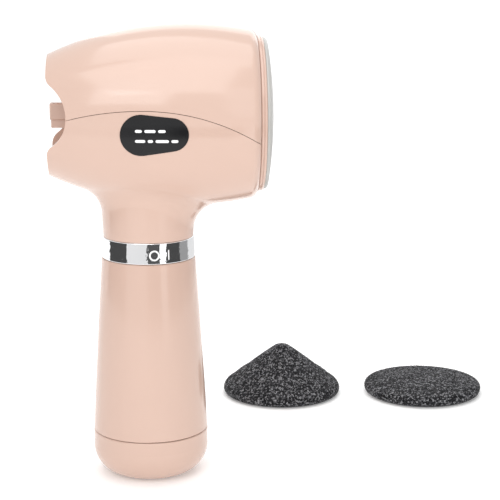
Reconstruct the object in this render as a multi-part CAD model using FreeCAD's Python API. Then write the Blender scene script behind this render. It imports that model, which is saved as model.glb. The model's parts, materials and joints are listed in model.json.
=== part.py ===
import FreeCAD, Part
import math
import os

from FreeCAD import Vector

# Handheld electric callus remover with two loose grinding heads, in millimetres. +Z runs up the handle, and
# +X towards the grinding face. The origin is the middle of the flat foot under the battery cap. The head is
# a barrel turned about an X axis, the grip is turned about Z, and the loose heads lie on the same surface as
# the foot.

# ---- overall shape -------------------------------------------------------------------------------------
HEAD_MAX_R = 35.8         # widest radius of the barrel
BELLY_X = 15.5            # where the barrel is widest
BARREL_ARC_R = 126.0      # radius of the barrel's side profile
REAR_X = -38.2            # rear rim
SHELL_FRONT_X = 42.9      # front edge of the two shells
FRONT_ROUND_L = 3.6       # length over which the side profile rounds in at the front
FRONT_DROP = 4.6          # radius lost from the belly to the front edge
WALL = 2.2                # shell wall of the head
SEAM_GAP = 0.22           # gap between the two shells
SEAM_RISE = 5.2           # top of the seam above the barrel's axis
SEAM_TOP_X = -1.0         # where the seam is highest
SEAM_REAR_ARC_R = 105.0
SEAM_FRONT_ARC_R = 79.0
LIP_T = 0.9               # lip inside the cover that overlaps the housing's wall
LIP_H = 2.0
LIP_GAP = 0.12
NECK_R = 18.0             # neck radius at the ring
NECK_H = 12.36            # height of the neck between the ring and the barrel's belly
NECK_FLARE = 0.045        # radius gained per mm of height
NECK_WALL = 2.0
NECK_FILLET = 11.0
RUN_GAP = 0.10            # radial play of turning and sliding parts
FIT_GAP = 0.15            # radial play of fixed parts that slide together

# ---- handle --------------------------------------------------------------------------------------------
CAP_TOP_Z = 18.0          # seam between battery cap and grip
FOOT_R = 13.0             # flat foot
CAP_CORNER_H = 12.5       # height over which the cap's side rolls into the foot
GRIP_TOP_Z = 89.2
GRIP_BOTTOM_R = 23.1
GRIP_TOP_R = NECK_R + 0.75
GRIP_WALL = 1.7
RING_H = 8.4
RING_GAP = 0.12           # axial play above and below the switch ring
RING_T = 1.7              # wall of the switch ring
SPIGOT_R = NECK_R - RING_T
SPIGOT_WALL = 1.7
SPIGOT_DEPTH = 9.8        # how far the spigot goes into the grip
RING_BOTTOM_Z = GRIP_TOP_Z + RING_GAP
RING_TOP_Z = RING_BOTTOM_Z + RING_H
NECK_BOTTOM_Z = RING_TOP_Z + RING_GAP
SPIGOT_BOTTOM_Z = GRIP_TOP_Z - SPIGOT_DEPTH
FLANGE_Z = SPIGOT_BOTTOM_Z - 2.5   # underside of the grip's inner flange
FLANGE_W = 6.0            # width of that flange
HEAD_Z = NECK_BOTTOM_Z + NECK_H + HEAD_MAX_R

# ---- screws --------------------------------------------------------------------------------------------
SCREW_R = 1.1
SCREW_HEAD_R = 2.0
SCREW_HEAD_H = 1.4
SCREW_GAP = 0.05

# ---- front of the head ---------------------------------------------------------------------------------
SHELL_FRONT_R = HEAD_MAX_R - FRONT_DROP
FRONT_WALL = 1.2
FRONT_BORE_R = SHELL_FRONT_R - FRONT_WALL
LEDGE_X = 36.0            # face that the suction plate seats on
LEDGE_T = 3.0
LEDGE_IN_R = FRONT_BORE_R - 4.8
PLATE_T = 2.0
SLOT_OUT_R = LEDGE_IN_R - 1.6
SLOT_W = 3.6
SLOT_IN_R = SLOT_OUT_R - SLOT_W
BEZEL_R = SHELL_FRONT_R - 0.6
BEZEL_WALL = 1.05
BEZEL_IN_R = FRONT_BORE_R - FIT_GAP - BEZEL_WALL
BEZEL_GAP = 0.15
BEZEL_LENGTH = 2.4        # visible length of the bezel's flange
BEZEL_X = SHELL_FRONT_X + BEZEL_GAP
BEZEL_FACE_X = BEZEL_X + BEZEL_LENGTH
PLATE_FACE_X = LEDGE_X + PLATE_T
PLATE_SCREW_ORBIT = BEZEL_IN_R - SCREW_HEAD_R - RUN_GAP
PLATE_SCREW_ANGLES = (50, 130, 230, 310)
PLATE_BOSS_R = 2.6
PLATE_BOSS_L = 9.0

GUARD_R = BEZEL_R - 0.8
GUARD_SKIRT_R = BEZEL_IN_R - RUN_GAP
GUARD_SKIRT_T = 0.8
GUARD_RIM = 1.3           # straight part of the guard's rim
GUARD_RISE = 2.6          # height of its dome
GUARD_WALL = 1.1
GUARD_SKIRT_L = 2.6       # how far it plugs into the bezel

# ---- rear of the head ----------------------------------------------------------------------------------
NOTCH_R = 14.1            # finger scallop on each side
NOTCH_DEPTH_X = REAR_X + 7.8
NOTCH_Z = HEAD_Z + 1.8
NOTCH_ROUND = 4.5
REAR_R = HEAD_MAX_R - BARREL_ARC_R + math.sqrt(BARREL_ARC_R**2 - (REAR_X - BELLY_X) ** 2)
CUP_MARGIN = 0.88         # room between the dust cup and the rear rim
CUP_R = REAR_R - WALL - CUP_MARGIN
CUP_WALL = 1.5
CUP_BACK_X = REAR_X + 9.3
CUP_BACK_T = 1.8
CUP_FRONT_X = -12.0
VENT_W = 1.8
VENT_PITCH = 3.5
VENT_FIRST_Y = 8.0        # first vent on each side of the tab
VENT_EDGE = 4.5           # solid edge left round the vents
RIB_X = CUP_BACK_X + 0.3  # guide rib around the dust cup
RIB_T = 2.2
TAB_END_X = REAR_X + 0.4
TAB_H = 9.8
TAB_W = 5.0
TAB_STEP_H = 3.3          # height of the tab's narrower lower part
FILTER_T = 3.0

# ---- badge on the near side -----------------------------------------------------------------------------
BADGE_BIG = (-2.3, -4.0, 7.8)      # x, height from the barrel's axis and radius of each end
BADGE_SMALL = (9.2, -3.7, 6.3)
BADGE_SINK = 0.6
BADGE_PROUD = 0.2
BADGE_GAP = 0.06

# ---- fan and motor -------------------------------------------------------------------------------------
SHROUD_BACK_X = CUP_FRONT_X - 4.0
SHROUD_R = CUP_R - 0.5   # inside radius round the fan blades
SHROUD_WALL = 1.6
FLANGE_X = 3.6            # shroud flange that is held between two ribs of the shells
FLANGE_T = 2.0
FLANGE_RIB_T = 1.0
FLANGE_RIB_H = 1.3
FLANGE_RIB_GAP = 0.08
MOTOR_R = 12.2
MOTOR_BACK_X = 3.0
MOTOR_FRONT_X = 28.6
MOTOR_WALL = 0.9
MOTOR_BOSS_R = 4.4
MOTOR_BOSS_L = 1.6
MOTOR_SCREW_Y = 8.0       # screws on both sides of the shaft
MOTOR_SCREW_HEAD_R = 1.7
TERMINAL_Y = 3.0
MAGNET_T = 2.0
ARMATURE_GAP = 0.5
END_CAP_T = 3.0
SHAFT_R = 1.0
FAN_BACK_X = -9.5
FAN_FRONT_X = -2.6
FAN_HUB_R = 5.4
FAN_TIP_GAP = 0.7
FAN_BLADES = 7
FAN_BLADE_T = 1.1

# ---- gear train ----------------------------------------------------------------------------------------
MODULE = 0.5
PRESSURE_ANGLE = math.radians(20)
PINION_TEETH = 12
WHEEL_TEETH = 36          # large gear of the idler, driven by the pinion
SMALL_TEETH = 14          # small gear of the idler
OUTPUT_TEETH = 34
BACKLASH = 0.12           # taken off each tooth's thickness
CENTRE_DISTANCE = MODULE * (PINION_TEETH + WHEEL_TEETH) / 2
GEARBOX_PLATE_X = MOTOR_FRONT_X + 0.05
GEARBOX_PLATE_T = 2.0
POST_R = 2.4
POST_ORBIT = SLOT_IN_R - POST_R - 0.6
GEARBOX_PLATE_R = POST_ORBIT + POST_R + 0.2
POST_ANGLES = (30, 150, 210, 330)
GEAR_T = 1.9
GEAR_GAP = 0.25
FIRST_GEAR_X = GEARBOX_PLATE_X + GEARBOX_PLATE_T + GEAR_GAP
SECOND_GEAR_X = FIRST_GEAR_X + GEAR_T + GEAR_GAP
IDLER_PIN_R = 1.0
SPINDLE_R = 2.5
BUSH_R = 4.2
BUSH_FLANGE_R = 5.6
BUSH_FLANGE_T = 1.0
BUSH_GAP = 0.05

# ---- drive hub and grinding heads ----------------------------------------------------------------------
HUB_R = 6.0
HUB_FLANGE_R = HUB_R + 3.0
HUB_FLANGE_T = 1.2
HUB_L = 4.4
HUB_NOTCH_W = 2.2         # notches in the hub's flange that drive a grinding head
HUB_NOTCH_DEPTH = 1.0
HUB_NOTCHES = 3
HUB_X = PLATE_FACE_X + BUSH_FLANGE_T + 0.3
SOCKET_GAP = 0.06
COUNTERBORE_DEPTH = 0.9
SOCKET_DEPTH = COUNTERBORE_DEPTH + HUB_L + 0.2
PAD_GAP = 0.4             # room for a fitted head inside the guard
PAD_R = GUARD_SKIRT_R - GUARD_SKIRT_T - PAD_GAP
PAD_TUCK = 2.4            # radius lost at the rounded lower edge
PAD_BASE_T = 0.8          # bare rim below the abrasive coat
PAD_GRIT = 0.9            # thickness of the abrasive coat
FLAT_RIM_H = 3.2          # height where the flat head is widest
FLAT_ROUND = 2.1          # rounding above that
FLAT_PAD_H = 8.3          # crown height of the flat head
CONE_RIM_H = 2.9
CONE_SHOULDER_R = PAD_R - 3.3
CONE_SHOULDER_H = 6.7     # where the rim's roll meets the shoulder
CONE_FOOT_R = PAD_R - 10.1
CONE_FOOT_H = 12.1        # where the shoulder gives way to the flank
CONE_KNEE_R = 3.7         # where the flank meets the ball tip
CONE_KNEE_H = 22.7
CONE_PAD_H = 23.8         # tip height of the pointed head
PAD_SPACE = 12.3          # room between the two loose heads
CONE_PAD_AT = (62.7, 102.0)
FLAT_PAD_AT = (CONE_PAD_AT[0] + 2 * PAD_R + PAD_SPACE, CONE_PAD_AT[1] - 4.0)

# ---- cells, contacts and cap thread --------------------------------------------------------------------
CELL_R = 7.1
CELL_L = 49.2
CELL_NUB_R = 2.7
CELL_NUB_H = 1.2
CELL_PITCH = CELL_R + 0.25
CELL_BOTTOM_Z = 19.6
SPRING_H = 5.0            # room for each spring under a flat cell end
TRAY_R = CELL_PITCH * math.sqrt(2) + CELL_R + 0.2
TRAY_TOP_T = 2.0
TRAY_GAP = 0.15
CONTACT_T = 0.4
CARRIER_T = 2.0
CARRIER_R = TRAY_R - 0.1
KEY_W = 2.7               # rib of the tray that stops the carrier from turning
KEY_T = 1.3
SPRING_T = 0.4
SPRING_W = 3.4
SPRING_REACH = 3.4
CAP_WALL = 2.0
CAP_SPIGOT_R = GRIP_BOTTOM_R - 3.3
CAP_SPIGOT_WALL = 1.6
CAP_SPIGOT_H = 8.5
THREAD_LEAD = 6.0
THREAD_STARTS = 2
THREAD_H = 0.8            # radial height of each ridge
THREAD_T = 1.2            # axial thickness of each ridge
THREAD_ARC = 100.0        # degrees that each ridge spans
THREAD_Z = CAP_TOP_Z + 3.3
THREAD_BORE_R = CAP_SPIGOT_R + THREAD_H + 0.2
CAP_SEAM_GAP = 0.25
SEAL_R = 0.7

# ---- switch --------------------------------------------------------------------------------------------
SWITCH_TURN = 17.5        # degrees between off and on
LUG_W = 3.0
LUG_H = 3.0
LUG_Z = RING_BOTTOM_Z + RING_H / 2 - LUG_H / 2
LUG_REACH = 4.6           # how far the lug reaches in past the ring's bore
BOARD_R = SPIGOT_R - SPIGOT_WALL - 0.2
BOARD_T = 1.2
BOARD_TOP_Z = LUG_Z - 0.5
BOARD_HOLE_R = 5.0
BOARD_STOP_ANGLES = (0, 90, 270)
LEAD_R = 0.55
LEAD_END_X = 1.5          # where the leads meet the motor
LEAD_SPREAD = TERMINAL_Y

# ---- screws between grip and neck ----------------------------------------------------------------------
HANDLE_BOSS_R = 2.5
HANDLE_SCREW_ORBIT = SPIGOT_R - SPIGOT_WALL - HANDLE_BOSS_R + 0.1
HANDLE_SCREW_ANGLES = (0, 180)

FAR = 80.0                # reach of cutting tools past the object
X_AXIS = Vector(1, 0, 0)
Y_AXIS = Vector(0, 1, 0)
Z_AXIS = Vector(0, 0, 1)
HEAD_CENTRE = Vector(0, 0, HEAD_Z)
nodes = {}


# ---- helpers -------------------------------------------------------------------------------------------
def along_x(radius, x0, x1, y=0.0, z=HEAD_Z):
    """Cylinder along X from x0 to x1."""
    return Part.makeCylinder(radius, x1 - x0, Vector(x0, y, z), X_AXIS)


def along_z(radius, z0, z1, x=0.0, y=0.0):
    """Cylinder along Z from z0 to z1."""
    return Part.makeCylinder(radius, z1 - z0, Vector(x, y, z0), Z_AXIS)


def tube_x(outer, inner, x0, x1):
    return along_x(outer, x0, x1).cut(along_x(inner, x0 - 1, x1 + 1))


def tube_z(outer, inner, z0, z1):
    return along_z(outer, z0, z1).cut(along_z(inner, z0 - 1, z1 + 1))


def box(x0, x1, y0, y1, z0, z1):
    return Part.makeBox(x1 - x0, y1 - y0, z1 - z0, Vector(x0, y0, z0))


def line(a, b):
    return Part.LineSegment(a, b).toShape()


def arc(a, b, c):
    return Part.Arc(a, b, c).toShape()


def turned_x(points):
    """Solid turned about the barrel's axis from (x, radius) points; a pair is an arc's middle and end."""
    items = [_arc_or_point(p, lambda q: Vector(q[0], 0, HEAD_Z + q[1])) for p in points]
    return turned(items, HEAD_CENTRE, X_AXIS)


def turned_z(points, x=0.0, y=0.0):
    """Solid turned about a vertical axis from (radius, z) points, with arcs as in turned_x."""
    items = [_arc_or_point(p, lambda q: Vector(x + q[0], y, q[1])) for p in points]
    return turned(items, Vector(x, y, 0), Z_AXIS)


def _arc_or_point(item, place):
    if isinstance(item[0], tuple):
        return [place(q) for q in item]
    return place(item)


def turned(items, base, axis):
    """Revolves a closed outline. An item is a point, or [middle, end] of an arc from the point before it."""
    edges = []
    here = items[0]
    for item in items[1:] + items[:1]:
        if isinstance(item, list):
            edges.append(arc(here, item[0], item[1]))
            here = item[1]
        elif here.distanceToPoint(item) > 1e-6:
            edges.append(line(here, item))
            here = item
    return Part.Face(Part.Wire(edges)).revolve(base, axis, 360)


def fused(shapes):
    shape = shapes[0].multiFuse(shapes[1:]) if len(shapes) > 1 else shapes[0]
    return shape.removeSplitter()


def around_head(shape, degrees):
    """Copy of shape turned about the barrel's axis; 0 degrees is +Y, 90 is +Z."""
    copy = shape.copy()
    copy.rotate(HEAD_CENTRE, X_AXIS, degrees)
    return copy


def around_grip(shape, degrees):
    """Copy of shape turned about the handle's axis."""
    copy = shape.copy()
    copy.rotate(Vector(0, 0, 0), Z_AXIS, degrees)
    return copy


def head_place(radius, degrees):
    """Y and Z of a point at that radius and angle round the barrel's axis."""
    a = math.radians(degrees)
    return radius * math.cos(a), HEAD_Z + radius * math.sin(a)


def largest_solid(shape):
    return max(shape.Solids, key=lambda s: s.Volume)


def keep(name, shape):
    """Files a finished node; a compound keeps its separate solids."""
    nodes[name] = shape


# ---- shells --------------------------------------------------------------------------------------------
def barrel_r(x):
    """Outer radius of the barrel at x, before the front rounding."""
    return HEAD_MAX_R - BARREL_ARC_R + math.sqrt(BARREL_ARC_R**2 - (x - BELLY_X) ** 2)


def barrel(offset, x0, x1):
    """The barrel's side surface, moved in by offset, as a solid from x0 to x1."""
    middle = (x0 + x1) / 2
    return turned_x([
        (x0, 0),
        (x0, barrel_r(x0) - offset),
        ((middle, barrel_r(middle) - offset), (x1, barrel_r(x1) - offset)),
        (x1, 0),
    ])


def outer_barrel():
    round_x = SHELL_FRONT_X - FRONT_ROUND_L
    middle = (REAR_X + round_x) / 2
    edge_r = barrel_r(round_x)
    round_mid = (round_x * 0.42 + SHELL_FRONT_X * 0.58, edge_r * 0.68 + SHELL_FRONT_R * 0.32)
    return turned_x([
        (REAR_X, 0),
        (REAR_X, barrel_r(REAR_X)),
        ((middle, barrel_r(middle)), (round_x, edge_r)),
        (round_mid, (SHELL_FRONT_X, SHELL_FRONT_R)),
        (SHELL_FRONT_X, 0),
    ])


def neck(offset, z0, z1):
    """The flared neck, moved in by offset."""
    r0 = NECK_R + NECK_FLARE * (z0 - NECK_BOTTOM_Z) - offset
    r1 = NECK_R + NECK_FLARE * (z1 - NECK_BOTTOM_Z) - offset
    return Part.makeCone(r0, r1, z1 - z0, Vector(0, 0, z0), Z_AXIS)


def blended(head, stem, radius):
    """Head and stem as one solid, with a fillet where the stem's cone meets the head's side."""
    body = head.fuse(stem)
    edges = []
    for edge in body.Edges:
        bounds = edge.BoundBox
        if bounds.ZMax < HEAD_Z and bounds.ZMin > NECK_BOTTOM_Z + 1 and bounds.XLength < 2.2 * NECK_R:
            edges.append(edge)
    return body.makeFillet(radius, edges)


def notch_tool():
    """Cuts both finger scallops, with their corners rolled into the rear rim."""
    slab = box(REAR_X - 30, REAR_X, -FAR, FAR, HEAD_Z - 60, HEAD_Z + 60)
    disc = Part.makeCylinder(NOTCH_R, 2 * FAR, Vector(NOTCH_DEPTH_X - NOTCH_R, -FAR, NOTCH_Z), Y_AXIS)
    tool = slab.fuse(disc)
    corners = [e for e in tool.Edges if abs(e.BoundBox.XMin - REAR_X) < 0.01 and e.BoundBox.XLength < 0.01
               and e.BoundBox.YLength > FAR and abs(e.BoundBox.ZMin - NOTCH_Z) < NOTCH_R + 1]
    return tool.makeFillet(NOTCH_ROUND, corners)


def above_seam(drop=0.0):
    """Everything above the seam between cover and housing: two arcs that meet level at the top."""
    top = Vector(SEAM_TOP_X, 0, HEAD_Z + SEAM_RISE - drop)
    rear_x, front_x = REAR_X - 6, SHELL_FRONT_X + 6

    def on_arc(x, radius):
        return Vector(x, 0, top.z - radius + math.sqrt(radius**2 - (x - top.x) ** 2))

    rear = on_arc(rear_x, SEAM_REAR_ARC_R)
    front = on_arc(front_x, SEAM_FRONT_ARC_R)
    edges = [
        arc(rear, on_arc((rear_x + top.x) / 2, SEAM_REAR_ARC_R), top),
        arc(top, on_arc((front_x + top.x) / 2, SEAM_FRONT_ARC_R), front),
        line(front, Vector(front_x, 0, HEAD_Z + FAR)),
        line(Vector(front_x, 0, HEAD_Z + FAR), Vector(rear_x, 0, HEAD_Z + FAR)),
        line(Vector(rear_x, 0, HEAD_Z + FAR), rear),
    ]
    face = Part.Face(Part.Wire(edges))
    face.translate(Vector(0, -FAR, 0))
    return face.extrude(Vector(0, 2 * FAR, 0))


def badge_outline(grow):
    """Egg-shaped prism along Y on the near side: two circles and their outer tangents."""
    big_x, big_z, big_r = BADGE_BIG[0], HEAD_Z + BADGE_BIG[1], BADGE_BIG[2] + grow
    small_x, small_z, small_r = BADGE_SMALL[0], HEAD_Z + BADGE_SMALL[1], BADGE_SMALL[2] + grow
    dx, dz = small_x - big_x, small_z - big_z
    span = math.hypot(dx, dz)
    heading = math.atan2(dz, dx)
    lean = math.acos((big_r - small_r) / span)

    def rim(cx, cz, radius, angle):
        return Vector(cx + radius * math.cos(angle), -FAR, cz + radius * math.sin(angle))

    up, down = heading + lean, heading - lean
    big = [rim(big_x, big_z, big_r, angle) for angle in (up, heading + math.pi, down)]
    small = [rim(small_x, small_z, small_r, angle) for angle in (down, heading, up)]
    wire = Part.Wire([arc(*big), line(big[-1], small[0]), arc(*small), line(small[-1], big[0])])
    return Part.Face(wire).extrude(Vector(0, FAR - 10, 0))


def flange_rib(x):
    """Low rib round the inside of the shells, beside the shroud's flange."""
    hollow = barrel(WALL + FLANGE_RIB_H, x - 1, x + FLANGE_RIB_T + 1)
    return barrel(WALL - 0.4, x, x + FLANGE_RIB_T).cut(hollow).cut(neck(NECK_WALL, NECK_BOTTOM_Z, HEAD_Z))


def shells():
    """Main housing with neck and spigot, and the cover above the seam."""
    inner_top = barrel(WALL, REAR_X - 4, LEDGE_X - LEDGE_T)
    outer = blended(outer_barrel(), neck(0, NECK_BOTTOM_Z, HEAD_Z), NECK_FILLET)
    inner = inner_top.fuse(neck(NECK_WALL, NECK_BOTTOM_Z + 2.0, HEAD_Z))
    shell = outer.cut(inner)
    shell = shell.cut(along_x(FRONT_BORE_R, LEDGE_X, SHELL_FRONT_X + 5))
    shell = shell.cut(along_x(LEDGE_IN_R, LEDGE_X - LEDGE_T - 1, SHELL_FRONT_X + 5))

    rib = barrel(WALL - 0.4, RIB_X, RIB_X + RIB_T)
    rib = rib.cut(along_x(CUP_R + FIT_GAP, RIB_X - 1, RIB_X + RIB_T + 1))
    flange_ribs = [
        flange_rib(FLANGE_X - FLANGE_RIB_T - FLANGE_RIB_GAP),
        flange_rib(FLANGE_X + FLANGE_T + FLANGE_RIB_GAP),
    ]
    bosses = []
    screw_holes = []
    for angle in PLATE_SCREW_ANGLES:
        y, z = head_place(PLATE_SCREW_ORBIT, angle)
        bosses.append(along_x(PLATE_BOSS_R, LEDGE_X - PLATE_BOSS_L, LEDGE_X - LEDGE_T + 0.5, y, z))
        screw_holes.append(along_x(SCREW_R + SCREW_GAP, LEDGE_X - PLATE_BOSS_L + 1, LEDGE_X + 1, y, z))
    shell = shell.multiFuse([rib] + flange_ribs + bosses)
    for hole in screw_holes:
        shell = shell.cut(hole)
    shell = shell.cut(notch_tool())

    cover = largest_solid(shell.common(above_seam()))
    housing = shell.cut(above_seam(SEAM_GAP))

    # Lip inside the cover that overlaps the housing's wall along the seam.
    band_above = above_seam().cut(above_seam(-1.5))
    band_below = above_seam(LIP_H).cut(above_seam())
    lips = []
    for x0, x1 in ((RIB_X + RIB_T + 1, FLANGE_X - 2), (FLANGE_X + FLANGE_T + 2, LEDGE_X - PLATE_BOSS_L - 1)):
        hollow = barrel(WALL + LIP_T, x0 - 1, x1 + 1)
        lips.append(barrel(WALL - 0.3, x0, x1).cut(hollow).common(band_above))
        lips.append(barrel(WALL + LIP_GAP, x0, x1).cut(hollow).common(band_below))
    keep("upper_cover", cover.multiFuse(lips).removeSplitter())

    # Neck spigot, with bosses for the screws that hold the grip, and a slot for the ring's lug.
    spigot = tube_z(SPIGOT_R, SPIGOT_R - SPIGOT_WALL, SPIGOT_BOTTOM_Z, NECK_BOTTOM_Z + 2.2)
    shoulder = tube_z(NECK_R - 0.5, SPIGOT_R - SPIGOT_WALL, NECK_BOTTOM_Z, NECK_BOTTOM_Z + 2.2)
    grip_bosses = []
    for angle in HANDLE_SCREW_ANGLES:
        boss = along_z(HANDLE_BOSS_R, SPIGOT_BOTTOM_Z, SPIGOT_BOTTOM_Z + 8, HANDLE_SCREW_ORBIT)
        grip_bosses.append(around_grip(boss, angle))
    stop_r = SPIGOT_R - SPIGOT_WALL + 0.2
    stops = [sector(stop_r, BOARD_R - 1.0, BOARD_TOP_Z + 0.02, BOARD_TOP_Z + 1.2, angle - 6, angle + 6)
             for angle in BOARD_STOP_ANGLES]
    housing = housing.cut(along_z(SPIGOT_R - SPIGOT_WALL, NECK_BOTTOM_Z - 1, NECK_BOTTOM_Z + 3))
    housing = housing.multiFuse([spigot, shoulder] + grip_bosses + stops)
    for angle in HANDLE_SCREW_ANGLES:
        hole = along_z(SCREW_R + SCREW_GAP, SPIGOT_BOTTOM_Z - 1, SPIGOT_BOTTOM_Z + 7, HANDLE_SCREW_ORBIT)
        housing = housing.cut(around_grip(hole, angle))
    housing = housing.cut(lug_slot())

    recess = barrel(-5, -20, 30).cut(barrel(BADGE_SINK, -20, 30)).common(badge_outline(BADGE_GAP))
    housing = largest_solid(housing.cut(recess)).removeSplitter()
    keep("main_housing", housing)
    plate = barrel(-BADGE_PROUD, -20, 30).cut(barrel(BADGE_SINK - 0.02, -21, 31)).common(badge_outline(0))
    keep("badge_plate", largest_solid(plate))


# ---- switch ring ---------------------------------------------------------------------------------------
def sector(outer, inner, z0, z1, start, end):
    """Ring segment about the handle's axis between two angles, in degrees from +X."""
    def at(radius, angle):
        a = math.radians(angle)
        return Vector(radius * math.cos(a), radius * math.sin(a), z0)

    middle = (start + end) / 2
    wire = Part.Wire([
        arc(at(inner, start), at(inner, middle), at(inner, end)),
        line(at(inner, end), at(outer, end)),
        arc(at(outer, end), at(outer, middle), at(outer, start)),
        line(at(outer, start), at(inner, start)),
    ])
    return Part.Face(wire).extrude(Vector(0, 0, z1 - z0))


def lug_half_angle():
    return math.degrees(LUG_W / 2 / SPIGOT_R)


def lug_slot():
    """Window in the spigot, wide enough for the lug's travel towards -X on the near side."""
    half = lug_half_angle()
    return sector(SPIGOT_R + 0.5, SPIGOT_R - SPIGOT_WALL - 0.5, LUG_Z - 0.3, LUG_Z + LUG_H + 0.3,
                  180 - SWITCH_TURN - half - 1, 180 + half + 1)


def switch():
    bore = SPIGOT_R + RUN_GAP
    bottom_r = NECK_R + 0.55
    top_r = NECK_R + 0.15
    skin = Part.makeCone(bottom_r, top_r, RING_H, Vector(0, 0, RING_BOTTOM_Z), Z_AXIS)
    rims = [e for e in skin.Edges if e.Closed or e.BoundBox.XLength > NECK_R]
    skin = skin.makeFillet(0.35, [e for e in rims if e.BoundBox.ZLength < 0.01])
    ring = skin.cut(along_z(bore, RING_BOTTOM_Z - 1, RING_TOP_Z + 1))
    half = lug_half_angle()
    lug = sector(bore + 0.4, bore - LUG_REACH, LUG_Z, LUG_Z + LUG_H, 180 - half, 180 + half)
    keep("switch_ring", ring.fuse(lug).removeSplitter())

    wiper_top = LUG_Z - 0.02
    lug_tip_r = bore - LUG_REACH
    strip = sector(lug_tip_r + 2.4, lug_tip_r - 0.2, wiper_top - 0.25, wiper_top, 168, 188)
    feet = [sector(lug_tip_r + 2.2, lug_tip_r + 1.2, BOARD_TOP_Z + 0.03, wiper_top - 0.2, angle, angle + 2)
            for angle in (168, 186)]
    keep("switch_wiper", fused([strip] + feet))

    board_bottom = BOARD_TOP_Z - BOARD_T
    keep("switch_board", tube_z(BOARD_R, BOARD_HOLE_R, board_bottom, BOARD_TOP_Z))
    retainer_r = SPIGOT_R - SPIGOT_WALL - 0.05
    keep("board_retainer", tube_z(retainer_r, BOARD_R - 1.2, board_bottom - 1.0, board_bottom - 0.02))


# ---- grip ----------------------------------------------------------------------------------------------
def grip_r(z):
    """Outer radius of the grip's straight taper at height z."""
    share = min(1.0, max(0.0, (z - CAP_TOP_Z) / (GRIP_TOP_Z - CAP_TOP_Z)))
    return GRIP_BOTTOM_R + (GRIP_TOP_R - GRIP_BOTTOM_R) * share


def thread_ridges(wall, crest, start_z, start):
    """Helical ridges from the wall radius to the crest radius, starting at start_z and the angle start."""
    height = THREAD_LEAD * THREAD_ARC / 360
    helix = Part.makeHelix(THREAD_LEAD, height, min(wall, crest))
    root = wall - math.copysign(0.3, crest - wall)
    taper = 0.25
    ridges = []
    for index in range(THREAD_STARTS):
        section = Part.makePolygon([
            Vector(root, 0, 0),
            Vector(root, 0, THREAD_T),
            Vector(crest, 0, THREAD_T - taper),
            Vector(crest, 0, taper),
            Vector(root, 0, 0),
        ])
        ridge = Part.Wire(helix).makePipeShell([section], True, True)
        ridge.translate(Vector(0, 0, start_z))
        ridges.append(around_grip(ridge, start + index * 360 / THREAD_STARTS))
    return ridges


def grip():
    bottom = CAP_TOP_Z + CAP_SEAM_GAP
    mid_z = (bottom + GRIP_TOP_Z) / 2
    socket_r = SPIGOT_R + FIT_GAP
    bore_top = bottom + CAP_SPIGOT_H + 1.5
    body = turned_z([
        (0, bottom),
        (grip_r(bottom) - 0.35, bottom),
        ((grip_r(bottom) - 0.1, bottom + 0.1), (grip_r(bottom), bottom + 0.35)),
        ((grip_r(mid_z) + 0.15, mid_z), (grip_r(GRIP_TOP_Z), GRIP_TOP_Z - 0.3)),
        (grip_r(GRIP_TOP_Z) - 0.3, GRIP_TOP_Z),
        (0, GRIP_TOP_Z),
    ])
    hollow = turned_z([
        (0, bottom - 1),
        (THREAD_BORE_R, bottom - 1),
        (THREAD_BORE_R, bore_top),
        (grip_r(bore_top) - GRIP_WALL - 1.0, bore_top + 1.0),
        (grip_r(FLANGE_Z) - GRIP_WALL, FLANGE_Z),
        (0, FLANGE_Z),
    ])
    tube = body.cut(hollow)
    tube = tube.cut(along_z(SPIGOT_R - SPIGOT_WALL - FLANGE_W, FLANGE_Z - 1, GRIP_TOP_Z))
    tube = tube.cut(along_z(socket_r, SPIGOT_BOTTOM_Z - 0.1, GRIP_TOP_Z + 1))
    for angle in HANDLE_SCREW_ANGLES:
        hole = along_z(SCREW_R + 0.3, FLANGE_Z - 1, GRIP_TOP_Z, HANDLE_SCREW_ORBIT)
        tube = tube.cut(around_grip(hole, angle))
    ridges = thread_ridges(THREAD_BORE_R, THREAD_BORE_R - THREAD_H, THREAD_Z - THREAD_LEAD / 4, 0)
    keep("handle_tube", tube.multiFuse(ridges).removeSplitter())

    screws = []
    for angle in HANDLE_SCREW_ANGLES:
        head = along_z(SCREW_HEAD_R, FLANGE_Z - SCREW_HEAD_H, FLANGE_Z - 0.01, HANDLE_SCREW_ORBIT)
        shank = along_z(SCREW_R, FLANGE_Z - 0.01, SPIGOT_BOTTOM_Z + 6, HANDLE_SCREW_ORBIT)
        drive = cross_recess()
        drive.rotate(Vector(0, 0, 0), X_AXIS, 180)
        drive.translate(Vector(HANDLE_SCREW_ORBIT, 0, FLANGE_Z - SCREW_HEAD_H))
        screws.append(around_grip(fused([head, shank]).cut(drive), angle))
    keep("handle_screws", Part.makeCompound(screws))


def cross_recess():
    """Cross-shaped driver recess that goes down from z = 0."""
    arm, half_width, depth = 1.2, 0.225, 0.8
    across = box(-arm, arm, -half_width, half_width, -depth, 0.1)
    return across.fuse(box(-half_width, half_width, -arm, arm, -depth, 0.1))


def screw_x(x_face, length, y, z):
    """Pan-head screw that goes in towards -X, with its head on the face at x_face."""
    head = along_x(SCREW_HEAD_R, x_face, x_face + SCREW_HEAD_H, y, z)
    shank = along_x(SCREW_R, x_face - length, x_face, y, z)
    drive = cross_recess()
    drive.rotate(Vector(0, 0, 0), Y_AXIS, 90)
    drive.translate(Vector(x_face + SCREW_HEAD_H, y, z))
    return fused([head, shank]).cut(drive)


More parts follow.
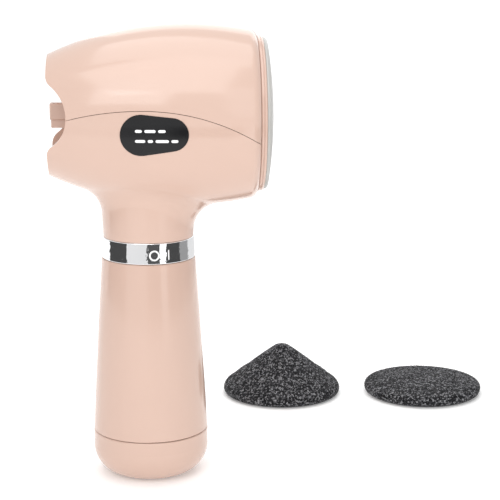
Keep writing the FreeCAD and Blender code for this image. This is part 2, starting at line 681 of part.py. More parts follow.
# ---- battery cap ---------------------------------------------------------------------------------------
def battery_cap():
    top_r = GRIP_BOTTOM_R
    bulge = math.cos(math.radians(45))
    corner_mid = (FOOT_R + (top_r - FOOT_R) * bulge, CAP_CORNER_H - CAP_CORNER_H * bulge)
    inner_r = top_r - CAP_WALL
    inner_mid = (FOOT_R + (inner_r - FOOT_R) * bulge, CAP_CORNER_H + 0.5 - (CAP_CORNER_H - CAP_WALL) * bulge)
    body = turned_z([
        (0, 0),
        (FOOT_R, 0),
        (corner_mid, (top_r, CAP_CORNER_H)),
        (top_r, CAP_TOP_Z - 0.35),
        (top_r - 0.35, CAP_TOP_Z),
        (0, CAP_TOP_Z),
    ])
    hollow = turned_z([
        (0, CAP_WALL),
        (FOOT_R, CAP_WALL),
        (inner_mid, (inner_r - 1.2, CAP_CORNER_H)),
        (CAP_SPIGOT_R - CAP_SPIGOT_WALL, CAP_CORNER_H + 2),
        (CAP_SPIGOT_R - CAP_SPIGOT_WALL, CAP_TOP_Z + 1),
        (0, CAP_TOP_Z + 1),
    ])
    spigot = tube_z(CAP_SPIGOT_R, CAP_SPIGOT_R - CAP_SPIGOT_WALL, CAP_TOP_Z - 2, CAP_TOP_Z + CAP_SPIGOT_H)
    post = along_z(3.4, CAP_WALL - 0.2, carrier_z() - 0.1)
    ridges = thread_ridges(CAP_SPIGOT_R, CAP_SPIGOT_R + THREAD_H, THREAD_Z, 0)
    cap = body.cut(hollow).multiFuse([spigot, post] + ridges)
    cap = cap.cut(along_z(SCREW_R + SCREW_GAP, carrier_z() - 7, carrier_z() + 1))
    keep("battery_cap", cap.removeSplitter())

    seal_z = CAP_TOP_Z + SEAL_R + 0.02
    seal = Part.makeTorus(CAP_SPIGOT_R + SEAL_R * 0.72, SEAL_R * 0.7, Vector(0, 0, seal_z), Z_AXIS)
    keep("cap_seal", seal)


def carrier_z():
    """Underside of the carrier that holds the lower contacts."""
    return CELL_BOTTOM_Z - SPRING_H - CONTACT_T - CARRIER_T


def cell_places():
    return [(sx * CELL_PITCH, sy * CELL_PITCH) for sx, sy in ((1, 1), (-1, 1), (-1, -1), (1, -1))]


def leaf_spring(x, y, z0, top):
    """Bent contact tongue: a foot on the strip, a slope, and a flat crest under the cell's end."""
    crest = top - SPRING_T
    foot = [(-SPRING_REACH, z0), (1.4 - SPRING_REACH, z0)]
    bends = foot + [(3.2 - SPRING_REACH, crest), (SPRING_REACH - 1, crest)]
    lower = [Vector(px, 0, pz) for px, pz in bends]
    upper = [Vector(px, 0, pz + SPRING_T) for px, pz in reversed(bends)]
    face = Part.Face(Part.makePolygon(lower + upper + lower[:1]))
    tongue = face.extrude(Vector(0, SPRING_W, 0))
    tongue.translate(Vector(x, y - SPRING_W / 2, 0))
    return tongue


def power_pack():
    z0 = carrier_z()
    carrier = along_z(CARRIER_R, z0, z0 + CARRIER_T).cut(along_z(SCREW_R + 0.25, z0 - 1, z0 + CARRIER_T + 1))
    key_half = KEY_W / 2 + 0.2
    keyway = box(-key_half, key_half, CARRIER_R - KEY_T - 0.4, CARRIER_R + 1, z0 - 1, z0 + 5)
    keep("contact_carrier", carrier.cut(keyway))
    head = along_z(SCREW_HEAD_R, z0 + CARRIER_T + 0.05, z0 + CARRIER_T + 0.05 + SCREW_HEAD_H)
    shank = along_z(SCREW_R, z0 - 6, z0 + CARRIER_T + 0.1)
    drive = cross_recess()
    drive.translate(Vector(0, 0, z0 + CARRIER_T + 0.05 + SCREW_HEAD_H))
    keep("carrier_screw", fused([head, shank]).cut(drive))

    plate_z = z0 + CARRIER_T + 0.01
    plates = [rounded_plate(sx, plate_z) for sx in (1, -1)]
    keep("lower_contacts", Part.makeCompound(plates))
    spring_z = plate_z + CONTACT_T + 0.01
    springs = []
    for index, (x, y) in enumerate(cell_places()):
        rest_z = CELL_BOTTOM_Z - (0 if index % 2 == 0 else CELL_NUB_H) - 0.05
        springs.append(leaf_spring(x, y, spring_z, rest_z))
    keep("contact_springs", Part.makeCompound(springs))

    cells = []
    for index, (x, y) in enumerate(cell_places()):
        up = index % 2 == 0
        can = along_z(CELL_R, CELL_BOTTOM_Z, CELL_BOTTOM_Z + CELL_L, x, y)
        can = can.makeFillet(0.8, [e for e in can.Edges if e.BoundBox.ZLength < 0.01])
        nub_z = CELL_BOTTOM_Z + CELL_L - 0.2 if up else CELL_BOTTOM_Z - CELL_NUB_H
        nub = along_z(CELL_NUB_R, nub_z, nub_z + CELL_NUB_H + 0.2, x, y)
        cells.append(can.fuse(nub))
    keep("battery_cells", Part.makeCompound(cells))

    tray_top = CELL_BOTTOM_Z + CELL_L + CELL_NUB_H + CONTACT_T + 0.1
    tray = along_z(TRAY_R, CELL_BOTTOM_Z + 1, tray_top)
    for x, y in cell_places():
        tray = tray.cut(along_z(CELL_R + TRAY_GAP, 0, tray_top + 1, x, y))
    tray = tray.cut(tube_z(TRAY_R + 5, TRAY_R - 0.9, 0, CELL_BOTTOM_Z + 6))
    lid = along_z(TRAY_R, tray_top, tray_top + TRAY_TOP_T)
    for x in (-CELL_PITCH, CELL_PITCH):
        lid = lid.cut(along_z(LEAD_R + 0.3, tray_top - 1, tray_top + TRAY_TOP_T + 1, x, CELL_PITCH))
    key_r = CARRIER_R - 0.1
    key = box(-KEY_W / 2, KEY_W / 2, key_r - KEY_T, key_r, z0 - 4, CELL_BOTTOM_Z + 2)
    contact_z = tray_top - CONTACT_T - 0.01
    bridge = along_x_plate(-CELL_PITCH, contact_z, 0)
    tray = tray.cut(along_x_plate(-CELL_PITCH, contact_z, 0.1))
    keep("battery_tray", fused([tray, lid, key]))
    ends = [along_z(CELL_R - 2.2, contact_z, contact_z + CONTACT_T, x, CELL_PITCH)
            for x in (-CELL_PITCH, CELL_PITCH)]
    keep("upper_contacts", Part.makeCompound([bridge] + ends))
    return tray_top + TRAY_TOP_T


def along_x_plate(y, z, gap):
    """Contact strip along X that joins two cells, grown by gap."""
    reach, half = CELL_PITCH + 4.5 + gap, 3.5 + gap
    return box(-reach, reach, y - half, y + half, z - gap, z + CONTACT_T + gap)


def rounded_plate(side, z):
    """Contact strip that joins the two cells on one side of the Y-Z plane."""
    half_x = 4.5
    x0 = side * CELL_PITCH - half_x
    plate = box(x0, x0 + 2 * half_x, -CELL_PITCH - 4.5, CELL_PITCH + 4.5, z, z + CONTACT_T)
    uprights = [e for e in plate.Edges if e.BoundBox.ZLength > CONTACT_T * 0.9]
    return plate.makeFillet(2.0, uprights)


# ---- head front ----------------------------------------------------------------------------------------
def front_end():
    """Bezel, suction plate and its screws, and the loose guard."""
    sleeve = tube_x(FRONT_BORE_R - FIT_GAP, BEZEL_IN_R, PLATE_FACE_X + 0.05, BEZEL_X + 0.5)
    flange = turned_x([
        (BEZEL_X, BEZEL_IN_R),
        (BEZEL_X, BEZEL_R - 0.3),
        (BEZEL_X + 0.3, BEZEL_R),
        (BEZEL_X + 0.95, BEZEL_R),
        (BEZEL_X + 1.1, BEZEL_R - 0.35),
        (BEZEL_X + 1.3, BEZEL_R - 0.35),
        (BEZEL_X + 1.45, BEZEL_R - 0.1),
        (BEZEL_FACE_X - 0.8, BEZEL_R - 0.15),
        ((BEZEL_FACE_X - 0.2, BEZEL_R - 0.4), (BEZEL_FACE_X, BEZEL_R - 1.0)),
        (BEZEL_FACE_X, BEZEL_IN_R),
    ])
    keep("front_bezel", fused([sleeve, flange]))

    plate = along_x(FRONT_BORE_R - FIT_GAP, LEDGE_X, PLATE_FACE_X)
    spokes = fused([around_head(box(LEDGE_X - 1, PLATE_FACE_X + 1, -1.6, 1.6, HEAD_Z, HEAD_Z + 40), a)
                    for a in range(0, 360, 40)])
    plate = plate.cut(tube_x(SLOT_OUT_R, SLOT_IN_R, LEDGE_X - 1, PLATE_FACE_X + 1).cut(spokes))
    boss = along_x(BUSH_R + 2.0, SECOND_GEAR_X + GEAR_T + GEAR_GAP, LEDGE_X + 0.5)
    plate = plate.fuse(boss).cut(along_x(BUSH_R, LEDGE_X - 5, PLATE_FACE_X + 1))
    pin_y, pin_z = 0.0, HEAD_Z + CENTRE_DISTANCE
    plate = plate.cut(along_x(IDLER_PIN_R, LEDGE_X - 1, LEDGE_X + 1.2, pin_y, pin_z))
    screws = []
    for angle in PLATE_SCREW_ANGLES:
        y, z = head_place(PLATE_SCREW_ORBIT, angle)
        plate = plate.cut(along_x(SCREW_R + 0.2, LEDGE_X - 1, PLATE_FACE_X + 1, y, z))
        screws.append(screw_x(PLATE_FACE_X, 9.0, y, z))
    keep("plate_screws", Part.makeCompound(screws))
    screws = []
    for angle in POST_ANGLES:
        y, z = head_place(POST_ORBIT, angle)
        plate = plate.cut(along_x(SCREW_R + 0.2, LEDGE_X - 1, PLATE_FACE_X + 1, y, z))
        screws.append(screw_x(PLATE_FACE_X, 6.0, y, z))
    keep("gearbox_screws", Part.makeCompound(screws))
    keep("suction_plate", plate.removeSplitter())

    bush_back = SECOND_GEAR_X + GEAR_T + GEAR_GAP + 0.02
    bush = fused([along_x(BUSH_R, bush_back, PLATE_FACE_X + 0.01),
                  along_x(BUSH_FLANGE_R, PLATE_FACE_X + 0.01, PLATE_FACE_X + BUSH_FLANGE_T)])
    keep("spindle_bush", bush.cut(along_x(SPINDLE_R + BUSH_GAP, bush_back - 1, PLATE_FACE_X + 5)))

    guard()


def guard():
    rim_x = BEZEL_FACE_X + 0.05
    dome_x = rim_x + GUARD_RIM
    apex = dome_x + GUARD_RISE
    inner_r = GUARD_SKIRT_R - GUARD_SKIRT_T

    def capped(radius, x_edge, x_apex, back):
        (mid_r, mid_x), _ = dome((radius, x_edge), x_apex)
        return turned_x([(back, 0), (back, radius), (x_edge, radius), ((mid_x, mid_r), (x_apex, 0))])

    outer = capped(GUARD_R, dome_x, apex, rim_x)
    edges = [e for e in outer.Edges if abs(e.BoundBox.XMin - dome_x) < 0.01 and e.BoundBox.XLength < 0.01]
    outer = outer.makeFillet(1.2, edges)
    inner = capped(inner_r, dome_x - 0.2, apex - GUARD_WALL, rim_x - 1)
    skirt = tube_x(GUARD_SKIRT_R, inner_r, rim_x - GUARD_SKIRT_L, rim_x + 0.1)
    keep("guard_cap", outer.cut(inner).fuse(skirt).removeSplitter())


# ---- dust cup ------------------------------------------------------------------------------------------
def dust_cup():
    cup = along_x(CUP_R, CUP_BACK_X, CUP_FRONT_X).cut(
        along_x(CUP_R - CUP_WALL, CUP_BACK_X + CUP_BACK_T, CUP_FRONT_X + 1))
    vents = []
    offset = VENT_FIRST_Y
    while offset + VENT_W < CUP_R - VENT_EDGE + 1:
        half = math.sqrt((CUP_R - VENT_EDGE) ** 2 - offset**2)
        for y in (-offset, offset):
            vents.append(box(CUP_BACK_X - 1, CUP_BACK_X + CUP_BACK_T + 1, y - VENT_W / 2, y + VENT_W / 2,
                             HEAD_Z - half, HEAD_Z + half))
        offset += VENT_PITCH
    cup = cup.cut(fused(vents))
    lower = HEAD_Z - TAB_H / 2 + 0.05
    step = lower + TAB_STEP_H
    upper = HEAD_Z + TAB_H / 2
    grip_pad = box(TAB_END_X, CUP_BACK_X + 0.5, -TAB_W / 2, TAB_W / 2, step - 0.3, upper)
    grip_pad = grip_pad.makeFillet(0.7, [e for e in grip_pad.Edges if e.BoundBox.XMin < TAB_END_X + 0.1
                                         or e.BoundBox.ZMin > upper - 0.1])
    keel = box(TAB_END_X + 0.4, CUP_BACK_X + 0.5, -TAB_W / 2 + 0.7, TAB_W / 2 - 0.7, lower, step + 0.5)
    keel = keel.makeFillet(0.5, [e for e in keel.Edges if e.BoundBox.XMax < TAB_END_X + 0.5])
    keep("dust_cup", fused([cup, grip_pad, keel]))

    filter_r = CUP_R - CUP_WALL - FIT_GAP
    back = CUP_BACK_X + CUP_BACK_T + 0.02
    keep("dust_filter", along_x(filter_r, back, back + FILTER_T))
    clip = tube_x(filter_r, filter_r - 1.2, back + FILTER_T + 0.02, back + FILTER_T + 1.2)
    keep("filter_clip", clip)


# ---- fan, motor ----------------------------------------------------------------------------------------
def fan_shroud():
    tube = tube_x(SHROUD_R + SHROUD_WALL, SHROUD_R, SHROUD_BACK_X, FLANGE_X + FLANGE_T)
    tube = tube.cut(along_x(CUP_R + RUN_GAP, SHROUD_BACK_X - 1, CUP_FRONT_X + 0.3))
    flange = barrel(WALL + FIT_GAP, FLANGE_X, FLANGE_X + FLANGE_T).cut(
        along_x(SHROUD_R + 0.5, FLANGE_X - 1, FLANGE_X + FLANGE_T + 1))
    nest = tube_x(MOTOR_R + 1.5, MOTOR_R + 0.08, FLANGE_X, FLANGE_X + 3.0)
    spokes = []
    for angle in (45, 135, 225, 315):
        inner_z, outer_z = HEAD_Z + MOTOR_R + 0.8, HEAD_Z + SHROUD_R + 0.8
        spoke = box(FLANGE_X, FLANGE_X + FLANGE_T, -1.0, 1.0, inner_z, outer_z)
        spokes.append(around_head(spoke, angle))
    shroud = fused([tube, flange, nest] + spokes)
    window = box(LEAD_END_X - 3, FLANGE_X + FLANGE_T + 1, -LEAD_SPREAD - 2.2, LEAD_SPREAD + 2.2,
                 HEAD_Z - FAR, HEAD_Z - SHROUD_R + 1)
    keep("fan_shroud", shroud.cut(window))


def fan():
    hub = along_x(FAN_HUB_R, FAN_BACK_X, FAN_FRONT_X)
    hub = hub.cut(along_x(FAN_HUB_R - 1.4, FAN_BACK_X + 1.6, FAN_FRONT_X + 1))
    hub = hub.fuse(along_x(SHAFT_R + 1.3, FAN_BACK_X, FAN_FRONT_X))
    tip = SHROUD_R - FAN_TIP_GAP
    middle_x = (FAN_BACK_X + FAN_FRONT_X) / 2
    chord = (FAN_FRONT_X - FAN_BACK_X) * 1.25
    blade = Part.makeBox(chord, FAN_BLADE_T, tip - FAN_HUB_R + 2,
                         Vector(middle_x - chord / 2, -FAN_BLADE_T / 2, HEAD_Z + FAN_HUB_R - 0.6))
    blade.rotate(Vector(middle_x, 0, HEAD_Z), Z_AXIS, 38)
    blades = [around_head(blade, i * 360 / FAN_BLADES) for i in range(FAN_BLADES)]
    envelope = tube_x(tip, FAN_HUB_R - 0.7, FAN_BACK_X, FAN_FRONT_X)
    wheel = hub.multiFuse([b.common(envelope) for b in blades])
    keep("fan_impeller", wheel.cut(along_x(SHAFT_R, FAN_BACK_X - 1, FAN_FRONT_X + 1)).removeSplitter())


def motor():
    can = along_x(MOTOR_R, MOTOR_BACK_X, MOTOR_FRONT_X)
    can = can.makeFillet(0.8, [e for e in can.Edges if abs(e.BoundBox.XMax - MOTOR_FRONT_X) < 0.01
                               and e.BoundBox.XLength < 0.01])
    can = can.cut(along_x(MOTOR_R - MOTOR_WALL, MOTOR_BACK_X - 1, MOTOR_FRONT_X - MOTOR_WALL))
    can = can.fuse(along_x(MOTOR_BOSS_R, MOTOR_FRONT_X - 0.5, MOTOR_FRONT_X + MOTOR_BOSS_L))
    can = can.cut(along_x(SHAFT_R + BUSH_GAP, MOTOR_FRONT_X - 3, MOTOR_FRONT_X + 5))
    holes = []
    for y in (-MOTOR_SCREW_Y, MOTOR_SCREW_Y):
        can = can.cut(along_x(SCREW_R + SCREW_GAP, MOTOR_FRONT_X - 3, MOTOR_FRONT_X + 2, y))
        holes.append(along_x(SCREW_R + 0.2, GEARBOX_PLATE_X - 1, GEARBOX_PLATE_X + GEARBOX_PLATE_T + 1, y))
    keep("motor_can", can.removeSplitter())

    end_x = MOTOR_BACK_X - END_CAP_T
    cap = along_x(MOTOR_R - 0.1, end_x, MOTOR_BACK_X - 0.01)
    cap = cap.fuse(along_x(MOTOR_BOSS_R - 0.6, end_x - 1.2, end_x + 0.5))
    cap = cap.cut(along_x(MOTOR_R - 3.0, MOTOR_BACK_X - END_CAP_T + 1.4, MOTOR_BACK_X + 1))
    cap = cap.cut(along_x(SHAFT_R + BUSH_GAP, MOTOR_BACK_X - END_CAP_T - 3, MOTOR_BACK_X + 1))
    terminals = []
    for y in (-TERMINAL_Y, TERMINAL_Y):
        slot = box(1.2, 1.8, y - 1.2, y + 1.2, HEAD_Z - MOTOR_R - 3, HEAD_Z - MOTOR_R + 2.6)
        cap = cap.cut(slot)
        terminals.append(box(1.25, 1.75, y - 1.1, y + 1.1, HEAD_Z - MOTOR_R - 2, HEAD_Z - MOTOR_R + 2.5))
    keep("motor_end_cap", cap.removeSplitter())
    keep("motor_terminals", Part.makeCompound(terminals))

    magnet_r = MOTOR_R - MOTOR_WALL - 0.02
    magnet = tube_x(magnet_r, magnet_r + 0.02 - MAGNET_T, MOTOR_BACK_X + 3, MOTOR_FRONT_X - 4)
    slot = box(-FAR, FAR, -3, 3, HEAD_Z - 40, HEAD_Z + 40)
    keep("motor_magnets", Part.makeCompound(magnet.cut(slot).Solids))

    core_r = MOTOR_R - MOTOR_WALL - MAGNET_T - ARMATURE_GAP
    core = along_x(core_r, MOTOR_BACK_X + 5, MOTOR_FRONT_X - 6)
    slits = []
    for angle in (0, 120, 240):
        cut = box(MOTOR_BACK_X, MOTOR_FRONT_X, -0.5, 0.5, HEAD_Z + 3.0, HEAD_Z + core_r + 1)
        pocket = box(MOTOR_BACK_X, MOTOR_FRONT_X, -2.6, 2.6, HEAD_Z + 4.0, HEAD_Z + core_r - 1.3)
        slits += [around_head(cut, angle), around_head(pocket, angle)]
    core = core.cut(fused(slits)).cut(along_x(SHAFT_R, MOTOR_BACK_X, MOTOR_FRONT_X))
    commutator = tube_x(2.6, SHAFT_R, MOTOR_BACK_X + 0.5, MOTOR_BACK_X + 5.2)
    keep("motor_armature", core.fuse(commutator).removeSplitter())
    keep("motor_shaft", along_x(SHAFT_R, FAN_BACK_X - 0.5, FIRST_GEAR_X + GEAR_T))
    return holes


# ---- gears ---------------------------------------------------------------------------------------------
def involute(angle):
    return math.tan(angle) - angle


def gear_outline(teeth, addendum, phase):
    """Outline of a spur gear in the Y-Z plane. A tooth points along the phase angle, from +Y to +Z."""
    pitch_r = MODULE * teeth / 2
    base_r = pitch_r * math.cos(PRESSURE_ANGLE)
    tip_r = pitch_r + addendum * MODULE
    root_r = pitch_r - 1.25 * MODULE
    half_at_pitch = (math.pi * MODULE / 2 - BACKLASH) / 2 / pitch_r
    start_r = max(base_r, root_r)
    flank = []
    steps = 4
    for i in range(steps + 1):
        r = start_r + (tip_r - start_r) * i / steps
        roll = involute(math.acos(min(1.0, base_r / r)))
        flank.append((r, half_at_pitch + involute(PRESSURE_ANGLE) - roll))
    if root_r < base_r:
        flank.insert(0, (root_r, flank[0][1]))
    points = []
    for tooth in range(teeth):
        middle = phase + 2 * math.pi * tooth / teeth
        polar = [(r, middle - half) for r, half in flank]
        polar += [(r, middle + half) for r, half in reversed(flank)]
        points += [Vector(0, r * math.cos(a), HEAD_Z + r * math.sin(a)) for r, a in polar]
    return Part.makePolygon(points + points[:1])


def spur(teeth, addendum, phase, x0, bore, offset_z=0.0):
    face = Part.Face(gear_outline(teeth, addendum, phase))
    gear = face.extrude(Vector(GEAR_T, 0, 0))
    gear.translate(Vector(x0, 0, offset_z))
    return gear.cut(along_x(bore, x0 - 1, x0 + GEAR_T + 1, 0, HEAD_Z + offset_z)) if bore else gear


def gear_train(motor_holes):
    up = math.pi / 2
    full, short = 1.0, 0.8
    idler_z = HEAD_Z + CENTRE_DISTANCE
    # Each pair meshes on the line between the axes: a tooth of the small gear in a gap of the large one.
    pinion = spur(PINION_TEETH, full, up, FIRST_GEAR_X, SHAFT_R)
    keep("motor_pinion", pinion)
    wheel_phase = -up + math.pi / WHEEL_TEETH
    wheel = spur(WHEEL_TEETH, short, wheel_phase, FIRST_GEAR_X, 0, CENTRE_DISTANCE)
    small = spur(SMALL_TEETH, full, -up, SECOND_GEAR_X, 0, CENTRE_DISTANCE)
    link = along_x(MODULE * SMALL_TEETH / 2 - 0.7, FIRST_GEAR_X, SECOND_GEAR_X + 0.1, 0, idler_z)
    idler = fused([wheel, small, link])
    idler = idler.cut(along_x(IDLER_PIN_R + BUSH_GAP, FIRST_GEAR_X - 1, SECOND_GEAR_X + 5, 0, idler_z))
    keep("idler_gear", idler)
    output = spur(OUTPUT_TEETH, short, up + math.pi / OUTPUT_TEETH, SECOND_GEAR_X, SPINDLE_R)
    keep("output_gear", output)
    pin_x = GEARBOX_PLATE_X + 0.6
    keep("idler_pin", along_x(IDLER_PIN_R, pin_x, LEDGE_X + 1.1, 0, idler_z))

    plate = along_x(GEARBOX_PLATE_R, GEARBOX_PLATE_X, GEARBOX_PLATE_X + GEARBOX_PLATE_T)
    post_end = LEDGE_X - 0.01
    posts = []
    for angle in POST_ANGLES:
        y, z = head_place(POST_ORBIT, angle)
        posts.append(along_x(POST_R, GEARBOX_PLATE_X, post_end, y, z))
    plate = fused([plate] + posts)
    for angle in POST_ANGLES:
        y, z = head_place(POST_ORBIT, angle)
        plate = plate.cut(along_x(SCREW_R + SCREW_GAP, post_end - 4.5, post_end + 1, y, z))
    plate = plate.cut(along_x(MOTOR_BOSS_R + FIT_GAP, GEARBOX_PLATE_X - 1, GEARBOX_PLATE_X + 5))
    plate = plate.cut(along_x(IDLER_PIN_R, pin_x, GEARBOX_PLATE_X + 5, 0, idler_z))
    for hole in motor_holes:
        plate = plate.cut(hole)
    keep("gearbox_plate", plate)
    keep("motor_screws", Part.makeCompound([motor_screw(y) for y in (-MOTOR_SCREW_Y, MOTOR_SCREW_Y)]))

    keep("drive_spindle", along_x(SPINDLE_R, SECOND_GEAR_X, HUB_X + HUB_L))


def motor_screw(y):
    """Low-head screw through the gearbox plate into the motor's front face, clear of the first gear."""
    pocket_face = GEARBOX_PLATE_X + GEARBOX_PLATE_T
    head = along_x(MOTOR_SCREW_HEAD_R, pocket_face + 0.01, pocket_face + 0.2, y)
    shank = along_x(SCREW_R, MOTOR_FRONT_X - 2.5, pocket_face + 0.01, y)
    return fused([head, shank])


# ---- drive hub and grinding heads ----------------------------------------------------------------------
def drive_hub():
    flange = along_x(HUB_FLANGE_R, HUB_X, HUB_X + HUB_FLANGE_T)
    for index in range(HUB_NOTCHES):
        notch = box(HUB_X - 1, HUB_X + HUB_FLANGE_T + 1, -HUB_NOTCH_W / 2, HUB_NOTCH_W / 2,
                    HEAD_Z + HUB_FLANGE_R - HUB_NOTCH_DEPTH, HEAD_Z + HUB_FLANGE_R + 1)
        flange = flange.cut(around_head(notch, index * 360 / HUB_NOTCHES))
    boss = along_x(HUB_R, HUB_X, HUB_X + HUB_FLANGE_T + HUB_L)
    keep("drive_hub", fused([flange, boss]).cut(along_x(SPINDLE_R, HUB_X - 1, HUB_X + HUB_L)))


def socket(x, y):
    """Blind socket for the drive hub, open downwards at z = 0, with lugs that fill the flange's notches."""
    flange_r = HUB_FLANGE_R + SOCKET_GAP * 2
    counterbore = along_z(flange_r, -1, COUNTERBORE_DEPTH)
    reach = HUB_FLANGE_R - HUB_NOTCH_DEPTH + SOCKET_GAP * 2
    half = HUB_NOTCH_W / 2 - SOCKET_GAP * 2
    for index in range(HUB_NOTCHES):
        lug = box(reach, flange_r + 1, -half, half, 0.1, COUNTERBORE_DEPTH + 0.1)
        counterbore = counterbore.cut(around_grip(lug, index * 360 / HUB_NOTCHES))
    hole = counterbore.fuse(along_z(HUB_R + SOCKET_GAP, -1, SOCKET_DEPTH))
    hole.translate(Vector(x, y, 0))
    return hole


def dome(edge, apex_z):
    """Outline points of a ball cap from its edge (radius, z) up to the axis."""
    radius, z = edge
    sag = apex_z - z
    ball_r = (radius**2 + sag**2) / (2 * sag)
    mid_r = radius / 2
    return (mid_r, apex_z - ball_r + math.sqrt(ball_r**2 - mid_r**2)), (0, apex_z)


def lower_edge(r, rim_h):
    """Underside and rounded lower edge, up to the widest point."""
    bend = math.cos(math.radians(45))
    return [(0, 0), (r - PAD_TUCK, 0), ((r - PAD_TUCK * (1 - bend), rim_h * (1 - bend)), (r, rim_h))]


def flat_profile(inset):
    """Outline of the flat head moved in by inset: rim, roll and low crown."""
    r = PAD_R - inset
    roll = FLAT_ROUND - inset
    shoulder_h = FLAT_RIM_H + roll
    bulge = roll * (1 - math.cos(math.radians(45)))
    shoulder = (r - roll, shoulder_h)
    return lower_edge(r, FLAT_RIM_H) + [((r - bulge, shoulder_h - bulge), shoulder),
                                        dome(shoulder, FLAT_PAD_H - inset)]


def cone_profile(inset):
    """Outline of the pointed head moved in by inset: rim, roll, shoulder, flank and ball tip."""
    r = PAD_R - inset
    shoulder = (CONE_SHOULDER_R - inset * 0.6, CONE_SHOULDER_H - inset * 0.8)
    foot = (CONE_FOOT_R - inset * 0.5, CONE_FOOT_H - inset * 0.85)
    knee = (CONE_KNEE_R - inset * 0.7, CONE_KNEE_H - inset * 0.7)
    roll_mid = ((r + shoulder[0]) / 2 + 0.65, (CONE_RIM_H + shoulder[1]) / 2 + 0.35)
    shoulder_mid = ((shoulder[0] + foot[0]) / 2 + 0.15, (shoulder[1] + foot[1]) / 2 + 0.3)
    flank_mid = ((foot[0] + knee[0]) / 2 + 0.1, (foot[1] + knee[1]) / 2 + 0.1)
    return lower_edge(r, CONE_RIM_H) + [(roll_mid, shoulder), (shoulder_mid, foot), (flank_mid, knee),
                                        dome(knee, CONE_PAD_H - inset)]


def grinding_head(name, place, profile):
    x, y = place
    whole = turned_z(profile(0), x, y)
    core = turned_z(profile(PAD_GRIT), x, y)
    foot = whole.common(along_z(PAD_R + 1, -1, PAD_BASE_T, x, y))
    keep(name + "_grit", whole.cut(core).cut(along_z(PAD_R + 1, -1, PAD_BASE_T, x, y)))
    keep(name + "_base", core.fuse(foot).cut(socket(x, y)).removeSplitter())


# ---- leads ---------------------------------------------------------------------------------------------
def lead(points):
    """Round wire along straight runs joined by tangent arcs."""
    edges = []
    here = points[0]
    for before, corner, after in zip(points, points[1:], points[2:]):
        to_before, to_after = (before - corner), (after - corner)
        shorter = min(to_before.Length, to_after.Length)
        turn = math.pi - to_before.getAngle(to_after)
        radius = 0.45 * shorter / math.tan(turn / 2)
        print("lead bend radius", round(radius, 1))
        reach = 0.45 * shorter
        enter = corner + to_before.normalize() * reach
        leave = corner + to_after.normalize() * reach
        centre_way = (to_before + to_after).normalize()
        middle = corner + centre_way * (radius / math.cos(turn / 2) - radius)
        edges += [line(here, enter), arc(enter, middle, leave)]
        here = leave
    edges.append(line(here, points[-1]))
    path = Part.Wire(edges)
    start = points[0]
    section = Part.Wire(Part.makeCircle(LEAD_R, start, points[1] - start))
    return path.makePipeShell([section], True, True)


def leads(tray_lid_z):
    """Battery plus to the switch, switch to the motor, motor back to battery minus."""
    board_z = BOARD_TOP_Z - BOARD_T
    start = tray_lid_z - TRAY_TOP_T + 0.02
    motor_z = HEAD_Z - MOTOR_R - 2.1
    pin_x, pin_y = 7.4, 2.6
    keep("battery_lead_red", lead([
        Vector(CELL_PITCH, CELL_PITCH, start), Vector(CELL_PITCH, CELL_PITCH, start + 3.0),
        Vector(4.9, 3.9, start + 7.2), Vector(pin_x, pin_y, board_z - 5),
        Vector(pin_x, pin_y, board_z - 0.05)]))
    keep("battery_lead_black", lead([
        Vector(-CELL_PITCH, CELL_PITCH, start), Vector(-CELL_PITCH, CELL_PITCH, start + 3.0),
        Vector(-4.8, 3.9, start + 7.4), Vector(-2.6, -1.0, board_z - 3), Vector(-1.6, -3.2, board_z + 13),
        Vector(LEAD_END_X - 0.2, -LEAD_SPREAD, board_z + 26), Vector(LEAD_END_X, -LEAD_SPREAD, motor_z)]))
    keep("switch_lead", lead([
        Vector(pin_x, pin_y, BOARD_TOP_Z + 0.05), Vector(pin_x, pin_y + 0.3, BOARD_TOP_Z + 7),
        Vector(5.0, 4.0, BOARD_TOP_Z + 17), Vector(LEAD_END_X + 0.3, LEAD_SPREAD, BOARD_TOP_Z + 29),
        Vector(LEAD_END_X, LEAD_SPREAD, motor_z)]))


def main():
    shells()
    switch()
    grip()
    battery_cap()
    lid_z = power_pack()
    front_end()
    dust_cup()
    fan_shroud()
    fan()
    gear_train(motor())
    drive_hub()
    grinding_head("flat_pad", FLAT_PAD_AT, flat_profile)
    grinding_head("cone_pad", CONE_PAD_AT, cone_profile)
    leads(lid_z)
    os.makedirs("parts", exist_ok=True)
    for name, shape in nodes.items():
        if not shape.isValid():
            print("INVALID", name)
        shape.exportStep(os.path.join("parts", name + ".step"))
    print(len(nodes), "nodes")


main()
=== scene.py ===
"""Electric callus remover with its two loose heads on a pale floor. Metres, in the CAD model's own frame."""
import bpy
import json
import math
import random
from mathutils import Matrix, Vector
from mathutils.bvhtree import BVHTree


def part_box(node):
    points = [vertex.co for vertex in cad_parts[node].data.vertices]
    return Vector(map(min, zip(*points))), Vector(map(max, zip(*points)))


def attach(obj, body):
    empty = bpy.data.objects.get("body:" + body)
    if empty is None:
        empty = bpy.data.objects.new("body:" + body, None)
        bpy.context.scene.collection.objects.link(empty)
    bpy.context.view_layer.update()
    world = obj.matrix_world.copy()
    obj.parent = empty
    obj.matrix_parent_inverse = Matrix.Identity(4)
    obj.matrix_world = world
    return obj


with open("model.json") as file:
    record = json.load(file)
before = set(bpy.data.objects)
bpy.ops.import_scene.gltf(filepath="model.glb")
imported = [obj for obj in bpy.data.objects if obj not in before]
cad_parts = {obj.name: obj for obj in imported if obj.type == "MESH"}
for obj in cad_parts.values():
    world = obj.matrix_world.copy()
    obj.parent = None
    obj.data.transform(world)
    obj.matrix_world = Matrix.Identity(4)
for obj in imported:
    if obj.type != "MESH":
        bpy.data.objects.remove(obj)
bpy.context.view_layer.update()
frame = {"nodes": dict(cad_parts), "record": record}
nodes = frame["nodes"]
scene = bpy.context.scene
MM = 0.001
INK_LIFT = 0.03 * MM      # how far a print stands above its surface
GRAIN_SIZES = (0.26 * MM, 0.46 * MM)
